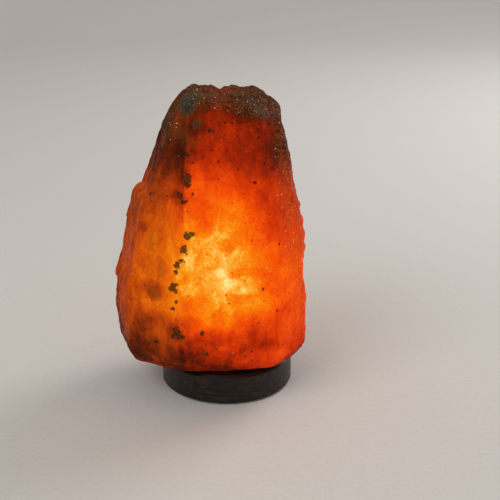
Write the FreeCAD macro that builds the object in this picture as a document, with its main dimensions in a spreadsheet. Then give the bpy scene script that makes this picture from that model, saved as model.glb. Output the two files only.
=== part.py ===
import FreeCAD, Part
import math
import os

import Sketcher

# Salt crystal lamp: a hewn block of rock salt on a round wooden base, lit from inside by a small tubular
# screw-cap bulb. Millimetres, +Z up. The origin is under the middle of the whole lamp, on the surface it
# stands on, and the photographed front faces -Y. The rock overhangs its base to the left, so the base,
# the bore and the bulb share a vertical axis that stands to the right of the origin.

# The rock's outline at each level: how far the level lies above the one below, then how far the rock
# reaches to the left, to the right, forward and back of its own middle.
LEVELS = [
    ("Sole", 0, 56, 58, 41, 46),
    ("Heel", 6, 67, 68, 53, 54),
    ("Ankle", 10, 71.5, 72.5, 60, 59),
    ("Belly", 22, 73, 73, 62, 61),
    ("Waist", 26, 72, 70, 61, 62),
    ("Chest", 17, 67, 72, 60, 61),
    ("Rib", 24, 63, 69, 57, 58),
    ("Ledge", 23, 56, 64, 53, 54),
    ("Step", 8, 49, 62, 51, 52),
    ("Shoulder", 24, 40, 58, 47, 47),
    ("Neck", 22, 32.5, 53.5, 44, 41),
    ("Brow", 14, 23.5, 51, 41, 36),
    ("Crown", 10, 11, 45, 37, 28),
]

# The corners that every level's outline has, going round from the ridge on the front's left. Each one
# lies at a share of the level's reach to one side, and at a share of its reach forward or back.
CORNERS = [
    ("Left", 0.34, "Front", 0.98),
    ("Right", 0.20, "Front", 1.00),
    ("Right", 0.71, "Front", 0.86),
    ("Right", 0.97, "Front", 0.44),
    ("Right", 1.00, "Back", 0.22),
    ("Right", 0.80, "Back", 0.76),
    ("Right", 0.28, "Back", 1.00),
    ("Left", 0.36, "Back", 0.95),
    ("Left", 0.84, "Back", 0.60),
    ("Left", 1.00, "Back", 0.06),
    ("Left", 0.82, "Front", 0.66),
]
SIGNS = {"Left": "-", "Right": "", "Front": "-", "Back": ""}

# The flat facets struck off the block with a chisel: the way each one faces, as a bearing round from the
# right-hand side and a lean above the level, and how far it lies from the middle of the block.
FACETS = [
    ("CrownTop", -29, 86, 118),
    ("CrownRight", -25, 55.5, 115.5),
    ("CrownBack", 24, 46, 110),
    ("CrownLeft", 172, 44, 100),
    ("BackRight", 48, 12, 72),
    ("BackLeft", 128, 16, 68),
    ("BackHigh", 92, 40, 88),
    ("HeelLeft", 205, -38, 104),
    ("HeelRight", -24, -36, 101.5),
    ("HeelBack", 84, -44, 94),
    ("HeelFrontLeft", -120, -30, 88.4),
    ("HeelFront", -75, -30, 88),
    ("HeelBackLeft", 120, -30, 87.2),
    ("HeelBackRight", 30, -30, 96.9),
    ("FlankLeft", -150, 0, 70.6),
    ("FlankFront", -105, 0, 63.4),
    ("FlankFrontRight", -45, 6, 70),
    ("FlankRight", 30, 6, 70.4),
    ("FlankBackRight", 60, 6, 66.3),
    ("FlankBack", 105, 0, 61.9),
    ("FlankBackLeft", 135, 12, 62.9),
    ("NeckFront", -60, 12, 68.9),
    ("BrowFrontLeft", -135, 20, 68.1),
    ("BrowFront", -75, 20, 76.5),
    ("BrowRight", 30, 20, 81.5),
    ("BrowLeft", -165, 30, 75.5),
    ("BrowBackLeft", 165, 30, 74.7),
    ("CrownFront", -30, 45, 109),
    ("CrownRidge", 90, 45, 93.6),
    ("HeelLeftBack", 160, -20, 87.4),
    ("HeelRightBack", 70, -20, 81.6),
    ("ShoulderFrontRight", -40, 12, 71),
    ("ShoulderFrontLeft", -160, 12, 63),
    ("ShoulderRight", 20, 12, 71.2),
    ("ChestBack", 70, 6, 62.3),
    ("CrackSide", -118, 12, 61.1),
]

SIZES = {
    # where the base, the bore and the bulb stand, right of the middle of the rock
    "AxisOffset": 12,
    # wooden base
    "BaseRadius": 50,
    "BaseThick": 22,
    "BaseBevel": 2.2,
    "HoleRadius": 20,
    "RecessRadius": 28,
    "RecessDepth": 12,
    "GrooveWidth": 8,
    "GrooveDepth": 8,
    # foot pads
    "PadCount": 4,
    "PadRadius": 6,
    "PadThick": 2,
    "PadCircle": 41,
    "PadBearing": 45,
    # bore and facets of the rock
    "BoreRadius": 21,
    "BoreDepth": 151,
    "FacetSlab": 300,
    "FacetMiddle": 110,
    # screws that hold the rock down
    "ScrewCount": 2,
    "ScrewCircle": 34,
    "ScrewRadius": 2,
    "ScrewHeadRadius": 4,
    "ScrewHeadThick": 2.4,
    "ScrewSink": 2,
    "ScrewLength": 38,
    "ScrewSlack": 0.25,
    "PilotSlack": 0.05,
    "PilotDepth": 20,
    # clip plate
    "PlateRadius": 25,
    "PlateThick": 1,
    "SlotSlack": 0.3,
    "ClipCount": 3,
    "ClipBearing": 90,
    "ClipWidth": 8,
    "ClipThick": 0.6,
    "ClipGap": 0.3,
    "ClipToe": 15,
    "ClipInset": 0.6,
    "ClipBulgeRise": 14,
    "ClipRise": 31,
    "ClipLean": 2.8,
    # threaded nipple with its nut
    "NippleRadius": 4.95,
    "NippleBore": 4,
    "NippleTail": 0.5,
    "NippleHead": 1,
    "ThreadSlack": 0.05,
    "NippleSlack": 0.2,
    "NutAcross": 14,
    "NutThick": 3,
    # lamp holder
    "CapRadius": 13.5,
    "CapWall": 1.5,
    "CapFloor": 4.5,
    "CapHeight": 14,
    "ShellSlack": 0.1,
    "ShellHeight": 36,
    "ShellBore": 8.3,
    "InsertThick": 9,
    "InsertSlack": 0.1,
    "SleeveWall": 0.4,
    "SleeveHeight": 24,
    "SleeveSlack": 0.3,
    "LeafWidth": 3,
    "LeafThick": 0.4,
    "LeafReach": 3,
    "LeafGap": 0.3,
    # tubular bulb
    "BulbRise": 5,
    "TipRadius": 2.4,
    "TipThick": 1,
    "InsulatorRadius": 5,
    "InsulatorThick": 3,
    "BulbCapRadius": 6.85,
    "BulbCapWall": 0.35,
    "BulbCapHeight": 22,
    "NeckGrip": 3,
    "GlassSlack": 0.1,
    "GlassWall": 0.6,
    "GlassRadius": 11,
    "GlassFlare": 2.5,
    "GlassHeight": 61,
    "GlassTopRadius": 8.5,
    "GlassTopTaper": 2,
    "StemSlack": 0.1,
    "StemFoot": 2,
    "StemHeight": 22,
    "StemRadius": 2.4,
    "LeadThick": 0.6,
    "LeadRoot": 1.5,
    "LeadRise": 10,
    "LeadEnd": 2,
    "FilamentThick": 0.5,
    "FilamentReach": 7,
    "FilamentRise": 7,
    "FilamentGap": 0.15,
}

doc = FreeCAD.newDocument("SaltLamp")


def fill_sheet():
    """Writes every driving size into the sheet, one row each, under its own name."""
    sheet = doc.addObject("Spreadsheet::Sheet", "Dims")
    rows = dict(SIZES)
    for level, rise, left, right, front, back in LEVELS:
        rows[level + "Rise"] = rise
        rows[level + "Left"] = left
        rows[level + "Right"] = right
        rows[level + "Front"] = front
        rows[level + "Back"] = back
    for facet, bearing, lean, reach in FACETS:
        rows[facet + "Bearing"] = bearing
        rows[facet + "Lean"] = lean
        rows[facet + "Reach"] = reach
    for row, (name, size) in enumerate(rows.items(), start=1):
        sheet.set(f"A{row}", name)
        sheet.set(f"B{row}", str(size))
        sheet.setAlias(f"B{row}", name)
    doc.recompute()
    return sheet


dims = fill_sheet()


def number(expression):
    """What an expression comes to with the sheet's sizes."""
    return float(dims.evalExpression(expression.replace("Dims.", "")))


# Heights that pieces share, each from the sizes that make it.
BASE_LOW = "Dims.PadThick"
BASE_TOP = f"({BASE_LOW} + Dims.BaseThick)"
PLATE_TOP = f"({BASE_LOW} + Dims.RecessDepth)"
PLATE_LOW = f"({PLATE_TOP} - Dims.PlateThick)"
NUT_LOW = f"({PLATE_LOW} - Dims.NutThick)"
NIPPLE_LOW = f"({NUT_LOW} - Dims.NippleTail)"
CAP_FLOOR = f"({PLATE_TOP} + Dims.CapFloor)"
NIPPLE_TOP = f"({CAP_FLOOR} + Dims.NippleHead)"
CAP_TOP = f"({PLATE_TOP} + Dims.CapHeight)"
SHELL_TOP = f"({CAP_TOP} + Dims.ShellHeight)"
INSERT_TOP = f"({CAP_TOP} + Dims.InsertThick)"
SLEEVE_TOP = f"({INSERT_TOP} + Dims.SleeveHeight)"
BULB_LOW = f"({INSERT_TOP} + Dims.BulbRise)"
TIP_TOP = f"({BULB_LOW} + Dims.TipThick)"
BULB_CAP_LOW = f"({TIP_TOP} + Dims.InsulatorThick)"
BULB_CAP_TOP = f"({BULB_CAP_LOW} + Dims.BulbCapHeight)"
GLASS_LOW = f"({BULB_CAP_TOP} - Dims.NeckGrip)"
GLASS_TOP = f"({GLASS_LOW} + Dims.GlassHeight)"
STEM_TOP = f"({GLASS_LOW} + Dims.StemHeight)"
LEAD_TOP = f"({STEM_TOP} + Dims.LeadRise + Dims.LeadEnd)"

CAP_BORE = "(Dims.CapRadius - Dims.CapWall)"
SLEEVE_BORE = "(Dims.BulbCapRadius + Dims.SleeveSlack)"
BULGE_RADIUS = "(Dims.HoleRadius - Dims.ClipGap - Dims.ClipThick / 2)"
RISER_RADIUS = f"({BULGE_RADIUS} - Dims.ClipInset)"
NECK_RADIUS = "(Dims.BulbCapRadius - Dims.BulbCapWall - Dims.GlassSlack)"


def new_body(label):
    body = doc.addObject("PartDesign::Body", label)
    body.Label = label
    return body


def origin_of(body, role):
    """The body's own origin plane or axis of that role."""
    return next(f for f in body.Origin.OriginFeatures if f.Role == role)


def new_sketch(body, name, role, lift=None, across=None):
    """A sketch on an origin plane, moved along its normal by lift and along its first axis by across."""
    sketch = body.newObject("Sketcher::SketchObject", name)
    sketch.AttachmentSupport = [(origin_of(body, role), "")]
    sketch.MapMode = "FlatFace"
    if lift:
        sketch.setExpression("AttachmentOffset.Base.z", lift)
    if across:
        sketch.setExpression("AttachmentOffset.Base.x", across)
    return sketch


def pin_point(sketch, piece, end, x, y):
    """Holds one end of a line, or a circle's centre, at a place given by two expressions."""
    for kind, place in (("DistanceX", x), ("DistanceY", y)):
        held = sketch.addConstraint(Sketcher.Constraint(kind, -1, 1, piece, end, number(place)))
        sketch.setExpression(f"Constraints[{held}]", place)


def draw_line(sketch, corners, closed=True):
    """Joins corners, each given by two expressions, with straight lines."""
    points = [FreeCAD.Vector(number(x), number(y), 0) for x, y in corners]
    count = len(corners) if closed else len(corners) - 1
    lines = []
    for i in range(count):
        line = Part.LineSegment(points[i], points[(i + 1) % len(points)])
        lines.append(sketch.addGeometry(line))
    for i in range(count if closed else count - 1):
        following = lines[(i + 1) % count]
        sketch.addConstraint(Sketcher.Constraint("Coincident", lines[i], 2, following, 1))
    for line, (x, y) in zip(lines, corners):
        pin_point(sketch, line, 1, x, y)
    if not closed:
        pin_point(sketch, lines[-1], 2, *corners[-1])


def draw_circle(sketch, x, y, radius):
    centre = FreeCAD.Vector(number(x), number(y), 0)
    piece = sketch.addGeometry(Part.Circle(centre, FreeCAD.Vector(0, 0, 1), number(radius)))
    pin_point(sketch, piece, 3, x, y)
    held = sketch.addConstraint(Sketcher.Constraint("Radius", piece, number(radius)))
    sketch.setExpression(f"Constraints[{held}]", radius)


def box_corners(x_low, x_high, y_low, y_high):
    return [(x_low, y_low), (x_high, y_low), (x_high, y_high), (x_low, y_high)]


def turn(body, name, corners, across=None, kind="PartDesign::Revolution"):
    """Turns an outline of radius and height about the body's own axis, or one moved across."""
    sketch = new_sketch(body, name + "Outline", "XZ_Plane", across=across)
    draw_line(sketch, corners)
    feature = body.newObject(kind, name)
    feature.Profile = sketch
    feature.ReferenceAxis = (sketch, ["V_Axis"])
    feature.Angle = 360
    return feature


def raise_from(body, name, sketch, height, kind="PartDesign::Pad", reverse=False, both=False):
    """Pads or pockets a sketch by a height."""
    feature = body.newObject(kind, name)
    feature.Profile = sketch
    feature.setExpression("Length", height)
    feature.Reversed = reverse
    feature.Midplane = both
    return feature


def repeat_round(body, feature, count, axis=None):
    """Repeats the body's last feature evenly about its upright axis, or about a sketch's normal."""
    pattern = body.newObject("PartDesign::PolarPattern", feature.Name + "Round")
    pattern.Originals = [feature]
    pattern.Axis = (axis, ["N_Axis"]) if axis else (origin_of(body, "Z_Axis"), [""])
    pattern.Angle = 360
    pattern.setExpression("Occurrences", count)
    body.Tip = pattern
    return pattern


def stand_on_axis(piece, bearing="0"):
    """Stands a piece on the lamp's upright axis, turned to a bearing."""
    place = f"placement(vector(Dims.AxisOffset; 0; 0); rotation({bearing}; 0; 0))"
    piece.setExpression("Placement", place)


# Salt rock


def level_outline(level):
    return [
        (
            f"{SIGNS[side]}{across} * Dims.{level}{side}",
            f"{SIGNS[depth]}{along} * Dims.{level}{depth}",
        )
        for side, across, depth, along in CORNERS
    ]


def make_block():
    """The rough block: a ruled loft up through its levels, bored for the bulb and drilled for screws."""
    block = new_body("rough_block")
    height = BASE_TOP
    levels = []
    for level, *_ in LEVELS:
        height = f"{height} + Dims.{level}Rise"
        sketch = new_sketch(block, level + "Outline", "XY_Plane", lift=height)
        draw_line(sketch, level_outline(level))
        levels.append(sketch)
    loft = block.newObject("PartDesign::AdditiveLoft", "Block")
    loft.Profile = levels[0]
    loft.Sections = levels[1:]
    loft.Ruled = True
    doc.recompute()
    solid = block.Shape.Volume
    top = f"({BASE_TOP} + Dims.BoreDepth)"
    bore = [
        ("0", BASE_TOP),
        ("Dims.BoreRadius", BASE_TOP),
        ("Dims.BoreRadius", top),
        ("0", top),
    ]
    turn(block, "Bore", bore, across="Dims.AxisOffset", kind="PartDesign::Groove")
    plan = new_sketch(block, "PilotPlan", "XY_Plane", lift=BASE_TOP, across="Dims.AxisOffset")
    draw_circle(plan, "Dims.ScrewCircle", "0", "Dims.ScrewRadius + Dims.PilotSlack")
    hole = raise_from(block, "PilotHole", plan, "Dims.PilotDepth", "PartDesign::Pocket", reverse=True)
    repeat_round(block, hole, "Dims.ScrewCount", axis=plan)
    doc.recompute()
    holes = math.pi * number("ScrewCount * ScrewRadius^2 * PilotDepth")
    bored = math.pi * number("BoreRadius^2 * BoreDepth")
    assert block.Shape.Volume < solid - bored - 0.9 * holes, "the bore or the screw holes cut nothing"
    return block


def make_facet(name):
    """A slab that lies outside one chiselled facet, with its inner face on the facet."""
    slab = doc.addObject("Part::Box", name)
    slab.setExpression("Length", "Dims.FacetSlab")
    slab.setExpression("Width", "Dims.FacetSlab")
    slab.setExpression("Height", "Dims.FacetSlab")
    middle = "vector(0; 0; Dims.FacetMiddle)"
    facing = f"rotation(Dims.{name}Bearing; -Dims.{name}Lean; 0)"
    inner = f"vector(Dims.{name}Reach; -Dims.FacetSlab / 2; -Dims.FacetSlab / 2)"
    straight = "rotation(0; 0; 0)"
    place = f"placement({middle}; {facing}) * placement({inner}; {straight})"
    slab.setExpression("Placement", place)
    return slab


def make_salt_rock():
    chips = doc.addObject("Part::MultiFuse", "Chips")
    chips.Shapes = [make_facet(name) for name, *_ in FACETS]
    rock = doc.addObject("Part::Cut", "salt_rock")
    rock.Label = "salt_rock"
    rock.Base = make_block()
    rock.Tool = chips
    return rock


# Wooden base with its pads and screws


def make_wooden_base():
    base = new_body("wooden_base")
    section = [
        ("Dims.HoleRadius", PLATE_TOP),
        ("Dims.RecessRadius", PLATE_TOP),
        ("Dims.RecessRadius", BASE_LOW),
        ("Dims.BaseRadius", BASE_LOW),
        ("Dims.BaseRadius", f"{BASE_TOP} - Dims.BaseBevel"),
        ("Dims.BaseRadius - Dims.BaseBevel", BASE_TOP),
        ("Dims.HoleRadius", BASE_TOP),
    ]
    turn(base, "Disc", section)
    doc.recompute()
    plain = base.Shape.Volume
    groove = new_sketch(base, "GroovePlan", "XY_Plane", lift=BASE_LOW)
    half = "Dims.GrooveWidth / 2"
    draw_line(groove, box_corners("-" + half, half, "Dims.HoleRadius", "Dims.BaseRadius + 1"))
    raise_from(base, "CordGroove", groove, "Dims.GrooveDepth", "PartDesign::Pocket", reverse=True)
    doc.recompute()
    assert base.Shape.Volume < plain - 100, "the cord groove cuts nothing"
    grooved = base.Shape.Volume
    sink = new_sketch(base, "ScrewSection", "XZ_Plane", across="Dims.ScrewCircle")
    shank = "Dims.ScrewRadius + Dims.ScrewSlack"
    head = "Dims.ScrewHeadRadius + Dims.ScrewSlack"
    seat = f"{BASE_LOW} + Dims.ScrewSink + Dims.ScrewHeadThick"
    outline = [
        ("0", BASE_LOW),
        (head, BASE_LOW),
        (head, seat),
        (shank, seat),
        (shank, BASE_TOP),
        ("0", BASE_TOP),
    ]
    draw_line(sink, outline)
    hole = base.newObject("PartDesign::Groove", "ScrewHole")
    hole.Profile = sink
    hole.ReferenceAxis = (sink, ["V_Axis"])
    hole.Angle = 360
    repeat_round(base, hole, "Dims.ScrewCount")
    doc.recompute()
    assert base.Shape.Volume < grooved - 100, "the screw holes cut nothing"
    return base


def make_foot_pads():
    pads = new_body("foot_pads")
    plan = new_sketch(pads, "PadPlan", "XY_Plane")
    x = "Dims.PadCircle * cos(Dims.PadBearing * 1 deg)"
    y = "Dims.PadCircle * sin(Dims.PadBearing * 1 deg)"
    draw_circle(plan, x, y, "Dims.PadRadius")
    repeat_round(pads, raise_from(pads, "Pad", plan, "Dims.PadThick"), "Dims.PadCount")
    return pads


def make_base_screws():
    screws = new_body("base_screws")
    low = f"({BASE_LOW} + Dims.ScrewSink)"
    high = f"({low} + Dims.ScrewLength)"
    outline = [
        ("0", low),
        ("Dims.ScrewHeadRadius", low),
        ("Dims.ScrewHeadRadius", f"{low} + Dims.ScrewHeadThick"),
        ("Dims.ScrewRadius", f"{low} + Dims.ScrewHeadThick"),
        ("Dims.ScrewRadius", high),
        ("0", high),
    ]
    screw = turn(screws, "Screw", outline, across="Dims.ScrewCircle")
    repeat_round(screws, screw, "Dims.ScrewCount")
    return screws


# Clip plate and its springs


def make_clip_plate():
    plate = new_body("clip_plate")
    hole = "Dims.NippleRadius + Dims.NippleSlack"
    section = [
        (hole, PLATE_LOW),
        ("Dims.PlateRadius", PLATE_LOW),
        ("Dims.PlateRadius", PLATE_TOP),
        (hole, PLATE_TOP),
    ]
    turn(plate, "Disc", section)
    doc.recompute()
    plain = plate.Shape.Volume
    plan = new_sketch(plate, "SlotPlan", "XY_Plane", lift=PLATE_LOW)
    reach = "(Dims.ClipThick / 2 + Dims.SlotSlack)"
    half = "(Dims.ClipWidth / 2 + Dims.SlotSlack)"
    draw_line(plan, box_corners(f"{RISER_RADIUS} - {reach}", f"{RISER_RADIUS} + {reach}", "-" + half, half))
    slot = raise_from(plate, "Slot", plan, "Dims.PlateThick", "PartDesign::Pocket", reverse=True)
    repeat_round(plate, slot, "Dims.ClipCount")
    doc.recompute()
    assert plate.Shape.Volume < plain - 10, "the clip slots cut nothing"
    return plate


def make_spring_clip(label):
    """A bent strip that hooks under the plate, bulges out against the hole and leans in at its top."""
    clip = new_body(label)
    toe = f"({PLATE_LOW} - Dims.ClipGap - Dims.ClipThick / 2)"
    path = new_sketch(clip, "ClipPath", "XZ_Plane")
    route = [
        ("Dims.ClipToe", toe),
        (RISER_RADIUS, toe),
        (RISER_RADIUS, f"{PLATE_TOP} + Dims.PlateThick"),
        (BULGE_RADIUS, f"{PLATE_TOP} + Dims.ClipBulgeRise"),
        (f"{BULGE_RADIUS} - Dims.ClipLean", f"{PLATE_TOP} + Dims.ClipRise"),
    ]
    draw_line(path, route, closed=False)
    strip = new_sketch(clip, "ClipSection", "YZ_Plane", lift="Dims.ClipToe")
    wide = "Dims.ClipWidth / 2"
    thick = "Dims.ClipThick / 2"
    draw_line(strip, box_corners("-" + wide, wide, f"{toe} - {thick}", f"{toe} + {thick}"))
    pipe = clip.newObject("PartDesign::AdditivePipe", "Strip")
    pipe.Profile = strip
    pipe.Spine = path
    pipe.Transition = "Right corner"
    return clip


# Threaded nipple with its nut


def make_cord_nipple():
    nipple = new_body("cord_nipple")
    section = [
        ("Dims.NippleBore", NIPPLE_LOW),
        ("Dims.NippleRadius", NIPPLE_LOW),
        ("Dims.NippleRadius", NIPPLE_TOP),
        ("Dims.NippleBore", NIPPLE_TOP),
    ]
    turn(nipple, "Tube", section)
    return nipple


def make_nipple_nut():
    nut = new_body("nipple_nut")
    plan = new_sketch(nut, "NutPlan", "XY_Plane", lift=NUT_LOW)
    corner = "Dims.NutAcross / sqrt(3)"
    bearings = [f"({60 * i} deg)" for i in range(6)]
    draw_line(plan, [(f"{corner} * cos{b}", f"{corner} * sin{b}") for b in bearings])
    draw_circle(plan, "0", "0", "Dims.NippleRadius + Dims.ThreadSlack")
    raise_from(nut, "Nut", plan, "Dims.NutThick")
    return nut


# Lamp holder


def make_holder_cap():
    """The cup that screws down on the nipple and takes the shell's foot."""
    cap = new_body("holder_cap")
    hole = "Dims.NippleRadius + Dims.ThreadSlack"
    section = [
        (hole, PLATE_TOP),
        ("Dims.CapRadius", PLATE_TOP),
        ("Dims.CapRadius", CAP_TOP),
        (CAP_BORE, CAP_TOP),
        (CAP_BORE, CAP_FLOOR),
        (hole, CAP_FLOOR),
    ]
    turn(cap, "Cup", section)
    return cap


def make_holder_shell():
    """The barrel that screws down into the cap and surrounds the bulb's cap."""
    shell = new_body("holder_shell")
    outer = f"{CAP_BORE} - Dims.ShellSlack"
    section = [
        ("Dims.ShellBore", CAP_FLOOR),
        (outer, CAP_FLOOR),
        (outer, SHELL_TOP),
        ("Dims.ShellBore", SHELL_TOP),
    ]
    turn(shell, "Shell", section)
    return shell


def make_contact_insert():
    """The ceramic disc that carries the screw sleeve and the centre contact."""
    insert = new_body("contact_insert")
    radius = "Dims.ShellBore - Dims.InsertSlack"
    section = [
        ("0", CAP_TOP),
        (radius, CAP_TOP),
        (radius, INSERT_TOP),
        ("0", INSERT_TOP),
    ]
    turn(insert, "Disc", section)
    return insert


def make_screw_sleeve():
    sleeve = new_body("screw_sleeve")
    section = [
        (SLEEVE_BORE, INSERT_TOP),
        (f"{SLEEVE_BORE} + Dims.SleeveWall", INSERT_TOP),
        (f"{SLEEVE_BORE} + Dims.SleeveWall", SLEEVE_TOP),
        (SLEEVE_BORE, SLEEVE_TOP),
    ]
    turn(sleeve, "Sleeve", section)
    return sleeve


def make_centre_contact():
    """A brass leaf that lies on the insert and springs up under the bulb's tip."""
    leaf = new_body("centre_contact")
    half = "Dims.LeafThick / 2"
    wide = "Dims.LeafWidth / 2"
    low = f"({INSERT_TOP} + {half})"
    high = f"({BULB_LOW} - Dims.LeafGap - {half})"
    path = new_sketch(leaf, "LeafPath", "XZ_Plane")
    route = [
        ("Dims.LeafReach", low),
        ("-Dims.LeafReach", low),
        ("-Dims.LeafReach / 2", high),
        ("Dims.LeafReach / 2", high),
    ]
    draw_line(path, route, closed=False)
    strip = new_sketch(leaf, "LeafSection", "YZ_Plane", lift="Dims.LeafReach")
    draw_line(strip, box_corners("-" + wide, wide, f"{low} - {half}", f"{low} + {half}"))
    pipe = leaf.newObject("PartDesign::AdditivePipe", "Leaf")
    pipe.Profile = strip
    pipe.Spine = path
    pipe.Transition = "Right corner"
    return leaf


# Bulb


def make_bulb_tip():
    """The round contact in the middle of the cap's foot."""
    tip = new_body("bulb_tip")
    section = [
        ("0", BULB_LOW),
        ("Dims.TipRadius", BULB_LOW),
        ("Dims.TipRadius", TIP_TOP),
        ("0", TIP_TOP),
    ]
    turn(tip, "Tip", section)
    return tip


def make_cap_insulator():
    """The black glass disc between the tip and the cap's tube."""
    insulator = new_body("cap_insulator")
    section = [
        ("0", TIP_TOP),
        ("Dims.InsulatorRadius", TIP_TOP),
        ("Dims.InsulatorRadius", BULB_CAP_LOW),
        ("0", BULB_CAP_LOW),
    ]
    turn(insulator, "Disc", section)
    return insulator


def make_bulb_cap():
    """The screw cap, hollow at its top, where it grips the glass."""
    cap = new_body("bulb_cap")
    bore = "Dims.BulbCapRadius - Dims.BulbCapWall"
    section = [
        ("0", BULB_CAP_LOW),
        ("Dims.BulbCapRadius", BULB_CAP_LOW),
        ("Dims.BulbCapRadius", BULB_CAP_TOP),
        (bore, BULB_CAP_TOP),
        (bore, GLASS_LOW),
        ("0", GLASS_LOW),
    ]
    turn(cap, "Cap", section)
    return cap


def make_bulb_glass():
    """The tubular envelope, narrow at its neck and drawn in at its top."""
    glass = new_body("bulb_glass")
    flare = f"{GLASS_LOW} + Dims.NeckGrip"
    outer = [
        (NECK_RADIUS, GLASS_LOW),
        (NECK_RADIUS, flare),
        ("Dims.GlassRadius", f"{flare} + Dims.GlassFlare"),
        ("Dims.GlassRadius", f"{GLASS_TOP} - Dims.GlassTopTaper"),
        ("Dims.GlassTopRadius", GLASS_TOP),
        ("0", GLASS_TOP),
    ]
    inner = [
        ("0", f"{GLASS_TOP} - Dims.GlassTopTaper"),
        ("Dims.GlassRadius - Dims.GlassWall", f"{GLASS_TOP} - Dims.GlassTopTaper"),
        ("Dims.GlassRadius - Dims.GlassWall", f"{flare} + Dims.GlassFlare"),
        (f"{NECK_RADIUS} - Dims.GlassWall", f"{flare} + Dims.GlassFlare"),
        (f"{NECK_RADIUS} - Dims.GlassWall", GLASS_LOW),
    ]
    turn(glass, "Glass", outer + inner)
    return glass


def make_glass_stem():
    """The foot that closes the neck, and the rod that carries the lead wires."""
    stem = new_body("glass_stem")
    foot = f"{NECK_RADIUS} - Dims.GlassWall - Dims.StemSlack"
    section = [
        ("0", GLASS_LOW),
        (foot, GLASS_LOW),
        (foot, f"{GLASS_LOW} + Dims.StemFoot"),
        ("Dims.StemRadius", f"{GLASS_LOW} + Dims.StemFoot"),
        ("Dims.StemRadius", STEM_TOP),
        ("0", STEM_TOP),
    ]
    turn(stem, "Stem", section)
    return stem


def make_lead_wires():
    leads = new_body("lead_wires")
    path = new_sketch(leads, "LeadPath", "XZ_Plane")
    route = [
        ("Dims.LeadRoot", STEM_TOP),
        ("Dims.LeadRoot", f"{STEM_TOP} + Dims.LeadEnd"),
        ("Dims.FilamentReach", f"{STEM_TOP} + Dims.LeadRise"),
        ("Dims.FilamentReach", LEAD_TOP),
    ]
    draw_line(path, route, closed=False)
    section = new_sketch(leads, "LeadSection", "XY_Plane", lift=STEM_TOP)
    half = "Dims.LeadThick / 2"
    square = box_corners(f"Dims.LeadRoot - {half}", f"Dims.LeadRoot + {half}", "-" + half, half)
    draw_line(section, square)
    pipe = leads.newObject("PartDesign::AdditivePipe", "Lead")
    pipe.Profile = section
    pipe.Spine = path
    pipe.Transition = "Right corner"
    repeat_round(leads, pipe, "2")
    return leads


def make_filament():
    """The filament, strung in a zigzag between the lead wires."""
    filament = new_body("filament")
    path = new_sketch(filament, "FilamentPath", "XZ_Plane")
    reach = "Dims.FilamentReach"
    foot = f"({LEAD_TOP} + Dims.FilamentGap)"
    peak = f"{foot} + Dims.FilamentRise"
    route = [
        (reach, foot),
        (f"{reach} / 2", peak),
        ("0", foot),
        (f"-{reach} / 2", peak),
        ("-" + reach, foot),
    ]
    draw_line(path, route, closed=False)
    section = new_sketch(filament, "FilamentSection", "XY_Plane", lift=foot)
    half = "Dims.FilamentThick / 2"
    square = box_corners(f"{reach} - {half}", f"{reach} + {half}", "-" + half, half)
    draw_line(section, square)
    pipe = filament.newObject("PartDesign::AdditivePipe", "Zigzag")
    pipe.Profile = section
    pipe.Spine = path
    pipe.Transition = "Right corner"
    return filament


ON_AXIS = [
    make_wooden_base,
    make_foot_pads,
    make_base_screws,
    make_clip_plate,
    make_cord_nipple,
    make_nipple_nut,
    make_holder_cap,
    make_holder_shell,
    make_contact_insert,
    make_screw_sleeve,
    make_centre_contact,
    make_bulb_tip,
    make_cap_insulator,
    make_bulb_cap,
    make_bulb_glass,
    make_glass_stem,
    make_lead_wires,
    make_filament,
]


def make_pieces():
    pieces = [make_salt_rock()]
    for make in ON_AXIS:
        piece = make()
        bearing = "Dims.ClipBearing" if piece.Label == "clip_plate" else "0"
        stand_on_axis(piece, bearing)
        pieces.append(piece)
    count = int(number("Dims.ClipCount"))
    for i in range(count):
        clip = make_spring_clip(f"spring_clip_{i + 1}")
        stand_on_axis(clip, f"Dims.ClipBearing + {i} * 360 / Dims.ClipCount")
        pieces.append(clip)
    doc.recompute()
    return pieces


def check(pieces):
    for thing in doc.Objects:
        if {"Invalid", "Error"} & set(thing.State):
            raise RuntimeError(f"{thing.Label} did not build: {thing.State}")
    for piece in pieces:
        if piece.Shape.isNull() or not piece.Shape.isValid() or not piece.Shape.Solids:
            raise RuntimeError(f"{piece.Label} has no valid solid")


pieces = make_pieces()
check(pieces)
os.makedirs("parts", exist_ok=True)
for piece in pieces:
    piece.Shape.exportStep(f"parts/{piece.Label}.step")
    size = piece.Shape.BoundBox
    print(
        f"{piece.Label}: {len(piece.Shape.Solids)} solid(s), {piece.Shape.Volume:.0f} mm3,"
        f" z {size.ZMin:.2f} to {size.ZMax:.2f}"
    )
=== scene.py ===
import math

import bpy
import numpy as np
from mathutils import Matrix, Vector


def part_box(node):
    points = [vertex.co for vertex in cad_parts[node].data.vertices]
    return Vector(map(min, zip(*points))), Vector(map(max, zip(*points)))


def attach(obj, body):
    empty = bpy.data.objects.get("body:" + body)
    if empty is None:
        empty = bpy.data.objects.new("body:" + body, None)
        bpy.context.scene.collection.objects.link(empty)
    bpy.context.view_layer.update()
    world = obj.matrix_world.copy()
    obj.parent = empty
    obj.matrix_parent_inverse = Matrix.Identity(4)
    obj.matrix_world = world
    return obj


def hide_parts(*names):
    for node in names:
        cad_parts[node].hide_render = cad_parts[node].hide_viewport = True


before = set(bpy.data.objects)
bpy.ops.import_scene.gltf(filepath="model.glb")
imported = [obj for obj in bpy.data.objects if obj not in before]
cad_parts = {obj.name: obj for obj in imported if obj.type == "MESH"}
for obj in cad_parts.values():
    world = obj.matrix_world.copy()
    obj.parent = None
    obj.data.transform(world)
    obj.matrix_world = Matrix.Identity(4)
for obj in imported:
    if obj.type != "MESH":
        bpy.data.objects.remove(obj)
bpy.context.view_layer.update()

# Lengths here are in millimetres, in the frame's own axes, until a mesh is made in metres.
MM = 0.001
TURN = 2 * math.pi


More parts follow.
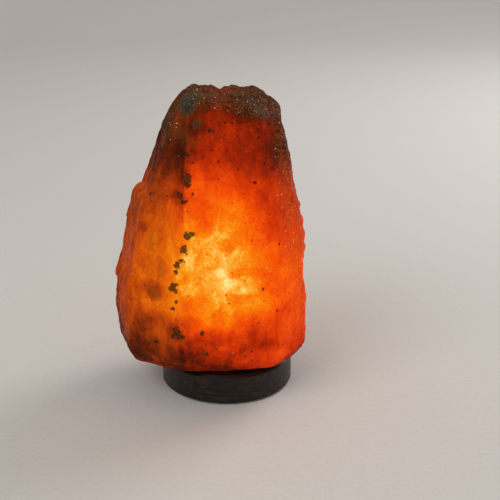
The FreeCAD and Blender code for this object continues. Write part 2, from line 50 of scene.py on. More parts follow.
# Sizes taken from the frame


def corners_mm(node):
    """The lowest and highest corner of a CAD node, in millimetres."""
    low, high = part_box(node)
    return np.array(low) / MM, np.array(high) / MM


def round_size(node):
    """How far a CAD node reaches from its upright middle, and the heights of its foot and its top."""
    low, high = corners_mm(node)
    return (high[0] - low[0]) / 2, low[2], high[2]


def vertices_mm(node):
    """Every vertex of a CAD node, in millimetres."""
    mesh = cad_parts[node].data
    places = np.empty(len(mesh.vertices) * 3)
    mesh.vertices.foreach_get("co", places)
    return places.reshape(-1, 3) / MM


def triangles_mm(node):
    """The corners of a CAD node's triangles: one row of three points for each triangle."""
    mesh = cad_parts[node].data
    mesh.calc_loop_triangles()
    picks = np.empty(len(mesh.loop_triangles) * 3, dtype=np.int32)
    mesh.loop_triangles.foreach_get("vertices", picks)
    return vertices_mm(node)[picks.reshape(-1, 3)]


def from_axis(points):
    """How far points lie from the axis that the base, the bore, the holder and the bulb share."""
    return np.hypot(points[:, 0] - AXIS_X, points[:, 1])


BASE_LOW, BASE_HIGH = corners_mm("wooden_base")
AXIS_X = (BASE_LOW[0] + BASE_HIGH[0]) / 2
SOLE = BASE_HIGH[2]
ROCK_POINTS = vertices_mm("salt_rock")
BORE_RADIUS = from_axis(ROCK_POINTS).min()
# points no more than this further out than the bore's wall count as part of it
WALL_SLACK = 0.1
BORE_TOP = ROCK_POINTS[from_axis(ROCK_POINTS) < BORE_RADIUS + WALL_SLACK, 2].max()
FILAMENT_REACH, FILAMENT_FOOT, FILAMENT_TOP = round_size("filament")
LIGHT = np.array([AXIS_X, 0.0, (FILAMENT_FOOT + FILAMENT_TOP) / 2])


# Numbers on grids


def smooth_step(x):
    """Rises from 0 to 1 as x does, level at both ends: 3x squared minus 2x cubed."""
    x = np.clip(x, 0, 1)
    return x * x * (3 - 2 * x)


def above(values, start, width):
    """0 up to a start, then a smooth rise to 1 over a width."""
    return smooth_step((values - start) / width)


def below(values, start, width):
    """0 down to a start, then a smooth rise to 1 over a width further down."""
    return smooth_step((start - values) / width)


def scatter(cells, seed):
    """A number from 0 to 1 for each cell of a cubic lattice, mixed from its three whole-number places."""
    mixed = cells[..., 0] * 73856093 ^ cells[..., 1] * 19349663 ^ cells[..., 2] * 83492791
    mixed = (mixed + seed * 2654435761) & 0xFFFFFFFF
    mixed = ((mixed ^ (mixed >> 15)) * 2246822519) & 0xFFFFFFFF
    mixed = ((mixed ^ (mixed >> 13)) * 3266489917) & 0xFFFFFFFF
    return ((mixed ^ (mixed >> 16)) & 0xFFFF) / 65535


def lumps(points, size, seed):
    """Smooth random lumps from 0 to 1: lattice numbers a size apart, blended by smooth steps."""
    place = points / size
    cell = np.floor(place).astype(np.int64)
    share = smooth_step(place - cell)
    total = np.zeros(points.shape[:-1])
    for corner in np.ndindex(2, 2, 2):
        weight = np.prod(np.where(corner, share, 1 - share), axis=-1)
        total += weight * scatter(cell + np.array(corner), seed)
    return total


def rough(points, size, seed):
    """Lumps of one size with lumps of half and a quarter of it laid over them, about 0, mostly within 1."""
    coarse = lumps(points, size, seed)
    middle = lumps(points, size / 2, seed + 1)
    fine = lumps(points, size / 4, seed + 2)
    return (coarse + middle / 2 + fine / 4) / 1.75 * 2 - 1


def unit(vectors):
    """Vectors brought to a length of 1."""
    return vectors / np.maximum(np.linalg.norm(vectors, axis=-1, keepdims=True), 1e-9)


def grid_normals(grid):
    """Unit normals of a grid that goes round along its second axis: the way round times the way on."""
    around = np.roll(grid, -1, axis=1) - np.roll(grid, 1, axis=1)
    return unit(np.cross(around, np.gradient(grid, axis=0)))


def soften(grid, times):
    """Each point moved halfway to the mean of its four neighbours, over and over. The first and last
    rows stay."""
    for _ in range(times):
        sides = (np.roll(grid, 1, axis=1) + np.roll(grid, -1, axis=1)) / 2
        ends = (grid[:-2] + grid[2:]) / 2
        grid = grid.copy()
        grid[1:-1] = grid[1:-1] / 2 + (sides[1:-1] + ends) / 4
    return grid


def tube_faces(rows, columns, loop=False):
    """The quads of a grid that closes on itself along its columns, and with loop along its rows too."""
    row, column = np.meshgrid(np.arange(rows if loop else rows - 1), np.arange(columns), indexing="ij")
    after, beside = (row + 1) % rows, (column + 1) % columns
    corners = [row * columns + column, row * columns + beside,
               after * columns + beside, after * columns + column]
    return np.stack(corners, axis=-1).reshape(-1, 4)


# Paths and shells


def round_angles(count):
    """Equal steps of angle round a circle, from 0."""
    return np.arange(count) * TURN / count


def level_ways(count):
    """Level unit vectors at equal steps round a circle: (cos a, sin a, 0)."""
    angle = round_angles(count)
    return np.stack([np.cos(angle), np.sin(angle), np.zeros(count)], axis=-1)


def rounded(corners, bend, steps=4):
    """A path of straight legs with its inner corners eased.

    Round a corner c the path runs from a to b, which lie the bend's length before and after c, as
    (1 - t)^2 a + 2 t (1 - t) c + t^2 b. A bend takes up less than half of a leg.
    """
    corners = np.array(corners, dtype=float)
    lengths = np.linalg.norm(np.diff(corners, axis=0), axis=1, keepdims=True)
    ways = np.diff(corners, axis=0) / lengths
    t = np.linspace(0, 1, steps + 1)[:, None]
    parts = [corners[:1]]
    for i in range(1, len(corners) - 1):
        cut = min(bend, 0.45 * lengths[i - 1, 0], 0.45 * lengths[i, 0])
        a, b = corners[i] - ways[i - 1] * cut, corners[i] + ways[i] * cut
        parts.append((1 - t) ** 2 * a + 2 * t * (1 - t) * corners[i] + t ** 2 * b)
    return np.concatenate(parts + [corners[-1:]])


def fine(path, step):
    """The same path with points no more than a step apart."""
    parts = [path[:1]]
    for a, b in zip(path[:-1], path[1:]):
        count = max(1, math.ceil(np.linalg.norm(b - a) / step))
        parts.append(a + (b - a) * np.arange(1, count + 1)[:, None] / count)
    return np.concatenate(parts)


def upright(path):
    """A flat path of distances to the right of the lamp's axis and heights, stood up in the plane y = 0."""
    return np.stack([AXIS_X + path[:, 0], np.zeros(len(path)), path[:, 1]], axis=-1)


def turned(profile, columns, reach=None, axis=None):
    """A profile of radius and height turned about an upright axis, as rings of points.

    Point = (x + r cos a, y + r sin a, z), with the angle a going round in equal steps; reach gives
    what is added to r by angle, radius and height. A radius of nothing makes a pole.
    """
    x, y = axis if axis is not None else (AXIS_X, 0)
    angle, ways = round_angles(columns), level_ways(columns)
    rings = []
    for radius, height in profile:
        middle = np.array([[x, y, height]])
        if radius < 1e-6:
            rings.append(middle)
            continue
        r = radius + (reach(angle, radius, height) if reach else 0) * np.ones(columns)
        rings.append(middle + ways * r[:, None])
    return rings


def thread(low, high, pitch, depth, walls):
    """What a screw thread takes off a wall: depth (1 - cos(turns up - angle)) / 2, faded out at both ends.
    It runs from low to high, only where the radius lies between the two walls."""
    def cut(angle, radius, height):
        if not walls[0] < radius < walls[1]:
            return 0
        fade = above(height, low, pitch) * below(height, high, pitch)
        return -depth * fade * (0.5 - 0.5 * np.cos(TURN * height / pitch - angle))
    return cut


def wire(path, radius, side=(0, 1, 0), sides=8):
    """A round wire along a path, as rings: path + r (cos a) n + r (sin a) m, with n and m square to it.
    side is a direction, or one for each point, that the path never runs along."""
    way = unit(np.gradient(path, axis=0))
    m = unit(np.cross(way, np.broadcast_to(side, path.shape)))
    n = np.cross(m, way)
    angle = round_angles(sides)[:, None]
    rings = path[:, None] + radius * (np.cos(angle) * n[:, None] + np.sin(angle) * m[:, None])
    return [path[:1], *rings, path[-1:]]


def skin_of(rings, loop=False):
    """Points and faces of a shell of rings, facing outwards. The first and last ring may be a single
    point, a pole; with loop the last ring joins the first."""
    columns = max(len(ring) for ring in rings)
    body = [ring for ring in rings if len(ring) == columns]
    points = np.concatenate(body)
    quads = tube_faces(len(body), columns, loop)
    around = np.arange(columns)
    beside = (around + 1) % columns
    caps = np.zeros((0, 3), dtype=int)
    for ring, edge, order in ((rings[0], 0, (beside, around)), (rings[-1], len(body) - 1, (around, beside))):
        if len(ring) == 1:
            pole = np.full(columns, len(points))
            fan = np.stack([edge * columns + order[0], edge * columns + order[1], pole], axis=-1)
            caps = np.concatenate([caps, fan])
            points = np.concatenate([points, ring])
    halves = np.concatenate([quads[:, [0, 1, 2]], quads[:, [0, 2, 3]], caps])
    a, b, c = (points[halves[:, i]] for i in range(3))
    # six times the volume inside, which is below nothing when the faces look inwards
    if np.einsum("ij,ij->", a, np.cross(b, c)) < 0:
        quads, caps = quads[:, ::-1], caps[:, ::-1]
    return points, quads, caps


def make_thing(name, points, faces, material):
    """A smooth mesh in the scene, from points in millimetres."""
    mesh = bpy.data.meshes.new(name)
    mesh.from_pydata((points * MM).tolist(), [], faces)
    mesh.polygons.foreach_set("use_smooth", np.ones(len(mesh.polygons), dtype=bool))
    mesh.update()
    mesh.materials.append(material)
    thing = bpy.data.objects.new(name, mesh)
    bpy.context.scene.collection.objects.link(thing)
    return thing


def make_piece(name, shells, body, material, replaces):
    """A piece of closed shells, given in millimetres, that rides on a body in place of its CAD node."""
    points, faces, count = [], [], 0
    for shell, quads, caps in shells:
        points.append(shell)
        faces += (quads + count).tolist() + (caps + count).tolist()
        count += len(shell)
    thing = make_thing(name, np.concatenate(points), faces, material)
    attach(thing, body)
    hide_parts(replaces)
    return thing


def make_turned(name, profile, columns, reach, body, material, replaces):
    """A piece turned about the lamp's axis. A profile that ends where it began is the wall of a tube."""
    tube = bool(np.allclose(profile[0], profile[-1]))
    rings = turned(profile[:-1] if tube else profile, columns, reach)
    make_piece(name, [skin_of(rings, tube)], body, material, replaces)


def tube_wall(bore, out, foot, top):
    """The corners of a tube's wall, from radius bore to radius out, round to the first again."""
    return [(bore, foot), (out, foot), (out, top), (bore, top), (bore, foot)]


def add_values(thing, name, values):
    """Keeps one number for each vertex, which a material reads by its name."""
    layer = thing.data.attributes.new(name, "FLOAT", "POINT")
    layer.data.foreach_set("value", np.asarray(values, dtype=np.float32))


# Materials: colours and nodes


def colour(code):
    """An sRGB hex colour as linear red, green, blue and 1."""
    parts = np.array([int(code[i:i + 2], 16) / 255 for i in (1, 3, 5)])
    linear = np.where(parts <= 0.04045, parts / 12.92, ((parts + 0.055) / 1.055) ** 2.4)
    return (*linear.tolist(), 1.0)


def feed(tree, node, inputs):
    """Gives each socket of a node a value, another node's output, or such an output and the stops of a ramp
    that it goes through."""
    for socket, value in inputs.items():
        if isinstance(value, tuple) and isinstance(value[0], bpy.types.NodeSocket):
            value = add(tree, "ValToRGB", {"Fac": value[0]}, value[1])["Color"]
        if isinstance(value, bpy.types.NodeSocket):
            tree.links.new(value, node.inputs[socket])
        else:
            node.inputs[socket].default_value = value


def add(tree, kind, inputs, stops=(), **settings):
    """Adds a node with its settings and links, and gives its outputs. A ramp has stops: hex colours, or
    numbers as greys, at places from 0 to 1."""
    node = tree.nodes.new("ShaderNode" + kind)
    for name, value in settings.items():
        setattr(node, name, value)
    feed(tree, node, inputs)
    for _ in stops[2:]:
        node.color_ramp.elements.new(0.5)
    for i, (place, value) in enumerate(stops):
        element = node.color_ramp.elements[i]
        element.position = place
        element.color = colour(value) if isinstance(value, str) else (value, value, value, 1)
    return node.outputs


def add_up(tree, whole, parts):
    """A sum: the whole so far, plus each part times its share."""
    for part, share in parts:
        whole = add(tree, "Math", {0: part, 1: share, 2: whole}, operation="MULTIPLY_ADD")[0]
    return whole


def cover(tree, under, layers):
    """A colour with layers mixed over it, each given by its share and its own colour."""
    for share, over in layers:
        under = add(tree, "Mix", {"Factor": share, "A": under, "B": over}, data_type="RGBA")["Result"]
    return under


def per_mm(size):
    """The scale at which a texture on coordinates in metres repeats every size millimetres."""
    return 1000 / size


def start_material(name):
    """A new material, its node tree and its object coordinates in metres."""
    material = bpy.data.materials.new(name)
    material.use_nodes = True
    tree = material.node_tree
    return material, tree, add(tree, "TexCoord", {})["Object"]


def start_noisy(name, *patterns):
    """A new material and its patterns of noise, each given by its size in millimetres and its detail."""
    material, tree, place = start_material(name)
    noises = (add(tree, "TexNoise", {"Vector": place, "Scale": per_mm(size), "Detail": detail})["Fac"]
              for size, detail in patterns)
    return material, *noises


def finish(material, looks, relief=None):
    """Gives a material's surface its looks. relief is the pattern that the skin rises with, the strength of
    this and its depth in millimetres."""
    tree = material.node_tree
    if relief:
        height, strength, depth = relief
        raised = add(tree, "Bump", {"Height": height, "Strength": strength, "Distance": depth * MM})
        looks["Normal"] = raised["Normal"]
    feed(tree, tree.nodes["Principled BSDF"], looks)
    return material


def salt_crystal():
    """Rock salt, hewn and washed: cloudy crystal that the lamp shines through, with specks of ore and painted
    glints of crystal faces.
    """
    material, tree, place = start_material("rock salt, hewn")
    deep, speck, clay, frost, amber = (
        add(tree, "Attribute", {}, attribute_name=name)["Fac"]
        for name in ("salt_deep", "specks", "grey_clay", "frost", "amber"))

    # crystals about 2.2 mm across: clear or cloudy at random, and blocky at their edges
    crystals = add(tree, "TexVoronoi", {"Vector": place, "Scale": per_mm(2.2)}, distance="CHEBYCHEV")
    chance = add(tree, "SeparateColor", {"Color": crystals["Color"]})
    # layers and streaks that run mostly upright, about 7 mm apart
    tall = add(tree, "Mapping", {"Vector": place, "Scale": (1.0, 1.0, 0.42)})["Vector"]
    streaks = add(tree, "TexNoise", {"Vector": tall, "Scale": per_mm(7), "Detail": 7.0,
                                     "Roughness": 0.66, "Distortion": 0.5})["Fac"]
    grain = add(tree, "TexNoise", {"Vector": place, "Scale": per_mm(1.15), "Detail": 4.0})["Fac"]
    # iron-red dots with a radius of a millimetre or less, in two thirds of cells 4.5 mm wide
    dots = add(tree, "TexVoronoi", {"Vector": place, "Scale": per_mm(4.5)})
    pick = add(tree, "SeparateColor", {"Color": dots["Color"]})[0]
    pick = (pick, [(0.35, 0.0), (1.0, 0.24)])
    dot = add(tree, "Math", {0: pick, 1: dots["Distance"]}, operation="SUBTRACT")[0]

    # the left of the rock is the cloudiest, and its finest grain shows least where it is darkest
    streaky, gritty = (
        add(tree, "Math", {0: pattern, 1: 0.5}, operation="SUBTRACT")[0] for pattern in (streaks, grain))
    path = add_up(tree, deep, [
        (streaky, add_up(tree, 0.32, [(amber, 0.2)])),
        (gritty, (deep, [(0.15, 0.3), (0.45, 0.17), (0.65, 0.09)])),
        (chance[0], 0.05),
        ((dot, [(0.0, 0.0), (0.07, 1.0)]), 0.2),
    ])
    path = add(tree, "Math", {0: path, 1: 0.035}, operation="SUBTRACT")[0]
    red_glow = [
        (0.00, "#ffe490"), (0.05, "#fdc961"), (0.12, "#fbac32"), (0.18, "#fa8b0c"), (0.25, "#f87205"),
        (0.37, "#f45504"), (0.49, "#e14004"), (0.61, "#bf2d03"), (0.72, "#922003"), (0.82, "#601403"),
        (0.91, "#380c03"), (1.00, "#1c0602"),
    ]
    # the left of the rock holds less red iron, and its glow is more amber
    amber_glow = [
        (0.00, "#ffe490"), (0.10, "#faad32"), (0.17, "#f4930e"), (0.25, "#ea7f08"), (0.37, "#d96706"),
        (0.49, "#c25006"), (0.61, "#a23d06"), (0.72, "#7c2b05"), (0.82, "#531c05"), (1.00, "#1c0803"),
    ]
    # ore shows where the specks, the crystals' chance and the grain together come near 1
    ragged = add_up(tree, speck, [(chance[1], 0.45), (grain, 0.5)])
    ore = add(tree, "ValToRGB", {"Fac": ragged}, [(0.9, 0.0), (1.0, 0.45), (1.0, 0.88)])["Color"]
    # painted glints: crystal faces 1.5 mm across painted as flashes of light in the glow and the base colour,
    # most of them where the skin is frosted
    faces = add(tree, "TexVoronoi", {"Vector": place, "Scale": per_mm(1.5)}, distance="MANHATTAN")
    lit = add(tree, "SeparateColor", {"Color": faces["Color"]})[0]
    lit = add_up(tree, lit, [((frost, [(0.0, 0.0), (0.3, 1.0)]), 0.065)])
    small = (faces["Distance"], [(0.30, 1.0), (0.42, 0.0)])
    painted_glint = add(tree, "Math", {0: (lit, [(0.9985, 0.0), (1.0, 1.0)]), 1: small}, operation="MULTIPLY")[0]
    dulled = add(tree, "Math", {0: frost, 1: 0.42}, operation="MULTIPLY")[0]
    glow = cover(tree, (path, red_glow), [
        (amber, (path, amber_glow)),
        (clay, (clay, [(0.4, "#5a3408"), (0.8, "#0a0603")])),
        (dulled, (grain, [(0.36, "#1c0d04"), (0.52, "#45260c"), (0.66, "#8a5a26")])),
        (ore, (grain, [(0.38, "#140501"), (0.53, "#301807"), (0.66, "#603c12")])),
        # painted glints, pale in the glow
        (painted_glint, (grain, [(0.35, "#8a5138"), (0.65, "#e0ab8c")])),
    ])
    grey_clay = (grain, [(0.35, "#181e1a"), (0.55, "#353c33"), (0.68, "#585a44")])
    skin = cover(tree, (streaks, [(0.3, "#1c0602"), (0.5, "#270a04"), (0.7, "#341008")]), [
        (frost, (grain, [(0.38, "#180c04"), (0.52, "#35200e"), (0.66, "#624624")])),
        ((clay, [(0.4, 0.0), (0.8, 1.0)]), grey_clay),
        # painted glints, pale in the base colour
        (painted_glint, colour("#d8b8a4")),
        (ore, colour("#1f120c")),
    ])
    relief = add_up(tree, grain, [(crystals["Distance"], 0.6)])
    return finish(material, {
        "Base Color": skin,
        "Roughness": (chance[1], [(0.0, 0.3), (0.5, 0.5), (1.0, 0.75)]),
        "IOR": 1.54,
        "Specular IOR Level": 0.02,
        "Emission Color": glow,
        "Emission Strength": 1.0,
    }, (relief, 0.5, 0.9))


def stained_wood():
    """Beech turned on a lathe, stained nearly black and lacquered: faint grain under a satin skin."""
    material, tree, place = start_material("beech, dark stain and lacquer")
    along = add(tree, "Mapping", {"Vector": place, "Scale": (0.08, 1.0, 1.0)})["Vector"]
    grain = add(tree, "TexNoise", {"Vector": along, "Scale": per_mm(2.2), "Detail": 5.0,
                                   "Distortion": 0.4})["Fac"]
    pores = add(tree, "TexNoise", {"Vector": along, "Scale": per_mm(0.7), "Detail": 2.0})["Fac"]
    return finish(material, {
        "Base Color": (grain, [(0.32, "#090403"), (0.5, "#180b07"), (0.68, "#38200f")]),
        "Roughness": (pores, [(0.3, 0.34), (0.7, 0.5)]),
        "Specular IOR Level": 0.3,
        "Coat Weight": 0.12,
        "Coat Roughness": 0.25,
    }, (pores, 0.25, 0.2))


def rubber():
    """Moulded black rubber: matt, a little dusty, with the grain of its mould."""
    material, dust, mould = start_noisy("black moulded rubber", (5, 4.0), (0.7, 2.0))
    return finish(material, {
        "Base Color": (dust, [(0.35, "#0f0f10"), (0.65, "#242325")]),
        "Roughness": (mould, [(0.3, 0.62), (0.7, 0.85)]),
    }, (mould, 0.3, 0.2))


def metal(name, dark, light, roughness, streak):
    """A metal whose colour drifts a little; streak is the spacing in mm of the marks its making left."""
    material, drift, marks = start_noisy(name, (6, 3.0), (streak, 2.0))
    return finish(material, {
        "Base Color": (drift, [(0.3, dark), (0.7, light)]),
        "Metallic": 1.0,
        "Roughness": (marks, [(0.3, roughness * 0.8), (0.7, roughness * 1.25)]),
    }, (marks, 0.12, 0.1))


def moulded_urea():
    """White thermoset moulding of the lamp holder: hard, ivory, with a soft gloss and flow marks."""
    material, flow, peel = start_noisy("white moulded thermoset", (14, 2.0), (0.9, 2.0))
    return finish(material, {
        "Base Color": (flow, [(0.3, "#d8d2c4"), (0.7, "#e6e1d5")]),
        "Roughness": (peel, [(0.3, 0.32), (0.7, 0.44)]),
    }, (peel, 0.1, 0.1))


def steatite():
    """Pressed and fired steatite ceramic, unglazed: creamy, matt and slightly gritty."""
    material, grit = start_noisy("steatite ceramic", (0.6, 4.0))
    return finish(material, {
        "Base Color": (grit, [(0.3, "#cfc6b2"), (0.7, "#e2dac8")]),
        "Roughness": 0.7,
    }, (grit, 0.3, 0.2))


def black_glass():
    """Black sealing glass at the foot of the bulb's cap: smooth, deep and shiny."""
    material, swirl = start_noisy("black sealing glass", (3, 2.0))
    return finish(material, {
        "Base Color": (swirl, [(0.3, "#08080a"), (0.7, "#17161b")]),
        "Roughness": 0.12,
        "IOR": 1.52,
    })


def clear_glass(name, tint):
    """Blown glass, thin and clear, with the faintest ripple from blowing."""
    material, ripple = start_noisy(name, (12, 1.0))
    return finish(material, {
        "Base Color": (ripple, [(0.2, tint), (0.8, "#ffffff")]),
        "Transmission Weight": 1.0,
        "Roughness": 0.02,
        "IOR": 1.5,
    }, (ripple, 0.05, 0.3))


def glowing_tungsten():
    """Coiled tungsten wire at white-yellow heat."""
    material, heat = start_noisy("tungsten, glowing", (1.2, 1.0))
    return finish(material, {
        "Base Color": colour("#8a8070"),
        "Roughness": 0.5,
        "Emission Color": (heat, [(0.3, "#ffc45a"), (0.7, "#fff0c0")]),
        "Emission Strength": 4.0,
    })


# Rock salt


# the line that the rock's sides are measured from: its foot, at the sole, and its head, which the crown is
# measured from too
SPINE_FOOT = np.array([0.0, 0.0])
SPINE_HEAD = np.array([17.0, -4.0, 180.0])
# how many points there are round the rock, and how many rows on its side, its crown and its sole, and on
# the wall and the ceiling of its bore
COLUMNS = 336
SIDE_ROWS = 186
CROWN_ROWS = 62
SOLE_ROWS = 10
WALL_ROWS = 12
CEILING_ROWS = 3
# how far above the sole the side's first row is measured
FIRST_ROW = 0.05


def outermost(start, heading, faces):
    """How far each ray runs from its start before it leaves the last of the faces it crosses.

    For a triangle a, b, c the ray start + t heading meets its plane at
    t = (c - a) . ((start - a) x (b - a)) / (b - a) . (heading x (c - a)), and lies inside it where
    both edge shares are at least nothing and together at most 1.
    """
    corner, edge, other = faces[:, 0], faces[:, 1] - faces[:, 0], faces[:, 2] - faces[:, 0]
    side = np.cross(heading[:, None], other[None])
    slope = np.einsum("tk,rtk->rt", edge, side)
    slope = np.where(np.abs(slope) < 1e-9, np.nan, slope)
    gap = start[:, None] - corner[None]
    first = np.einsum("rtk,rtk->rt", gap, side) / slope
    turn = np.cross(gap, edge[None])
    second = np.einsum("rk,rtk->rt", heading, turn) / slope
    distance = np.einsum("tk,rtk->rt", other, turn) / slope
    slack = 1e-4
    hit = (first >= -slack) & (second >= -slack) & (first + second <= 1 + slack) & (distance > 0)
    return np.where(hit, distance, 0).max(axis=1)


def rock_outside():
    """The rock's side and crown as a grid of points, from the CAD rock.

    The side: start (spine at height z), heading (cos a, sin a, 0). The crown: start at the spine's head,
    heading (cos a cos e, sin a cos e, sin e), with e from level to nearly upright.
    """
    faces = triangles_mm("salt_rock")
    ways = level_ways(COLUMNS)
    rows = []
    for height in np.linspace(SOLE + FIRST_ROW, SPINE_HEAD[2], SIDE_ROWS):
        share = (height - SOLE) / (SPINE_HEAD[2] - SOLE)
        spine = SPINE_FOOT + (SPINE_HEAD[:2] - SPINE_FOOT) * smooth_step(share)
        start = np.tile([*spine, height], (COLUMNS, 1))
        near = (faces[..., 2].min(axis=1) <= height) & (faces[..., 2].max(axis=1) >= height)
        rows.append(start + ways * outermost(start, ways, faces[near])[:, None])
    start = np.tile(SPINE_HEAD, (COLUMNS, 1))
    upper = faces[faces[..., 2].max(axis=1) >= SPINE_HEAD[2]]
    for rise in np.linspace(0, math.pi / 2, CROWN_ROWS + 2)[1:-1]:
        heading = ways * math.cos(rise) + np.array([0, 0, math.sin(rise)])
        rows.append(start + heading * outermost(start, heading, upper)[:, None])
    return np.stack(rows)


# how many chisel marks there are, how far each one's flat is tilted at random, how fully it is flat, and
# the most that it takes off and leaves on
CHISEL_MARKS = 420
CHISEL_TILT = 0.10
CHISEL_DEPTH = 0.75
CHISEL_OFF, CHISEL_ON = 2.2, 1.2
# how near the next mark a flat fades out, and how near it the mark's edge looks darker, and by how much
BORDER_WIDTH = 3.0
EDGE_WIDTH, EDGE_SHADE = 1.6, 0.5
# how much one mark's glow may differ from the next one's, as a share of the whole glow
MARK_SHADE = 0.045
# how much brighter a ridge glows than a hollow, as a share of the whole glow, for a millimetre of height,
# and the height past which this grows no more
RIDGE_GLOW = 0.065
RIDGE_MOST = 1.2
# how fully both show, at depths where the glow is hottest, middling and darkest
RELIEF_SHOWS = [(0.05, 0.3, 0.5, 0.65), (0.5, 1.0, 1.0, 0.65)]


def chisel(grid, seed):
    """The surface flattened into the marks of a chisel, and each point's own shade of mark.

    Each point p goes to the nearest mark's middle c and moves along the mark's normal n by
    ((c - p) . n) times the depth, less beside the border with the next mark. The shade is a number from
    -1 to 1 for each mark, and a little more along its border.
    """
    choice = np.random.default_rng(seed)
    flat = grid.reshape(-1, 3)
    normals = grid_normals(soften(grid, 12)).reshape(-1, 3)
    picks = choice.integers(0, len(flat), CHISEL_MARKS)
    tilts = unit(normals[picks] + choice.normal(0, CHISEL_TILT, (CHISEL_MARKS, 3)))
    nearest = np.full(len(flat), np.inf)
    second = np.full(len(flat), np.inf)
    mark = np.zeros(len(flat), dtype=int)
    for i, centre in enumerate(flat[picks]):
        away = np.linalg.norm(flat - centre, axis=1)
        closer = away < nearest
        second = np.where(closer, nearest, np.minimum(second, away))
        mark[closer] = i
        nearest = np.minimum(nearest, away)
    inward = second - nearest
    offset = np.einsum("pk,pk->p", flat[picks][mark] - flat, tilts[mark])
    offset = np.clip(offset, -CHISEL_OFF, CHISEL_ON) * CHISEL_DEPTH * smooth_step(inward / BORDER_WIDTH)
    shade = choice.uniform(-1, 1, CHISEL_MARKS)[mark] + EDGE_SHADE * (1 - smooth_step(inward / EDGE_WIDTH))
    return (flat + tilts[mark] * offset[:, None]).reshape(grid.shape), shade.reshape(grid.shape[:-1])


# how far above the sole the hewn form comes in fully
FOOT_FADE = 8
# the random lumps under the chisel marks: their height either way and their size
LUMP_HEIGHT, LUMP_SIZE = 0.9, 24
# where the top edge is nicked: how far right, how wide to the left and to the right, and how deep
TOP_NICKS = [(8.6, 7.0, 2.6, 2.8), (42.0, 2.2, 3.0, 1.8), (-7.0, 3.0, 5.0, 1.2), (26.0, 6.0, 4.0, 1.0)]
# broken ledges down the sides: 1 for the right and -1 for the left, the ledge's height, how deep the break
# below it is, and how far down it fades out
SIDE_NICKS = [(1, 111.0, 3.0, 20.0), (1, 205.0, 1.2, 9.0), (-1, 132.0, 1.1, 16.0), (1, 138.0, 0.9, 12.0),
              (-1, 84.0, 1.0, 12.0)]
# how far a ledge wanders up and down, and how far down its break is deepest
LEDGE_WANDER, LEDGE_LIP = 3, 2.4
# the crack down the front: how far right it lies at two heights, and how far its right side stands proud
CRACK_LOW = (-20.0, 100.0)
CRACK_HIGH = (-13.0, 205.0)
CRACK_STEP = 1.0
# the crust: the heights and sizes of its small and large crystals, and how much more the small ones rise
# where the skin is frosted
SMALL_CRUST, SMALL_SIZE = 0.42, 4.5
LARGE_CRUST, LARGE_SIZE = 0.7, 9
FROST_RISE = 1.3
# the frost: how far right it starts at a height, and how much nearer it comes for each mm up; the height
# that it starts at on the top, and how much lower for each mm to the right; how thick it is on the left
FROST_RIGHT, FROST_LEVEL, FROST_LEAN = 54, 100, 0.13
FROST_TOP, FROST_SLOPE = 220, 0.3
FROST_LEFT = 0.7


def right_of_crack(points):
    """How far each point lies to the right of the crack's line, in millimetres."""
    share = (points[..., 2] - CRACK_LOW[1]) / (CRACK_HIGH[1] - CRACK_LOW[1])
    wander = 3.0 * (lumps(points * [0, 0, 1], 14, seed=31) - 0.5)
    return points[..., 0] - (CRACK_LOW[0] + (CRACK_HIGH[0] - CRACK_LOW[0]) * share + wander)


def frost_share(points):
    """Where the skin is frosted with small crystals, from 0 to 1: down the right-hand edge, most of it high
    up, along the top, and on the left near the top."""
    x, z = points[..., 0], points[..., 2]
    edge = smooth_step((x - FROST_RIGHT + FROST_LEAN * (z - FROST_LEVEL)) / 12)
    edge *= above(z, 45, 25) * (0.35 + 0.65 * above(z, 80, 100))
    top = smooth_step((z - FROST_TOP + FROST_SLOPE * np.clip(x - 5, 0, 40)) / 8)
    left = below(x, -12, 15) * above(z, 193, 20)
    most = np.maximum(np.maximum(edge, top), FROST_LEFT * left)
    return np.clip(most * (0.75 + 0.6 * rough(points, 8, seed=71)), 0, 1)


def nick(grid):
    """Breaks pieces off the rock, in place: out of its top edge, as notches that narrow in a straight line,
    and from under the ledges down its sides."""
    for middle, left, right, depth in TOP_NICKS:
        away = grid[..., 0] - middle
        dip = depth * np.clip(1 - np.where(away < 0, -away / left, away / right), 0, 1)
        grid[..., 2] -= dip * above(grid[..., 2], 205, 15)
    for side, ledge, depth, fade in SIDE_NICKS:
        wavy = ledge + LEDGE_WANDER * rough(grid * [0, 1, 0], 12, seed=23)
        under = wavy - grid[..., 2]
        dip = depth * smooth_step(under / LEDGE_LIP) * np.clip(1 - under / fade, 0, 1)
        grid[..., 0] -= side * dip * above(side * grid[..., 0], 30, 25)


def hew(grid):
    """The CAD rock's surface with lumps, chisel marks, nicks, the crack's step and a crystalline crust,
    and the shade of the marks. The lumps, the step and the crust are heights along its normals."""
    grid = soften(grid, 4)
    foot = above(grid[..., 2], SOLE, FOOT_FADE)[..., None]
    grid = grid + grid_normals(grid) * foot * LUMP_HEIGHT * rough(grid, LUMP_SIZE, seed=3)[..., None]
    cut, shade = chisel(grid, seed=11)
    grid = cut * foot + grid * (1 - foot)
    nick(grid)
    front = below(grid[..., 1], 0, 20) * above(grid[..., 2], 95, 30) * below(grid[..., 2], 222, 20)
    across = right_of_crack(grid)
    step = CRACK_STEP * smooth_step(across / 1.6 + 0.5) * np.exp(-np.abs(across) / 14)
    small = SMALL_CRUST * rough(grid, SMALL_SIZE, seed=17) * (1 + FROST_RISE * frost_share(grid))
    crust = small + LARGE_CRUST * rough(grid, LARGE_SIZE, seed=19)
    raised = foot * crust[..., None] + (front * step)[..., None]
    grid = grid + grid_normals(soften(grid, 2)) * raised
    grid[..., 2] = np.maximum(grid[..., 2], SOLE)
    return grid, shade


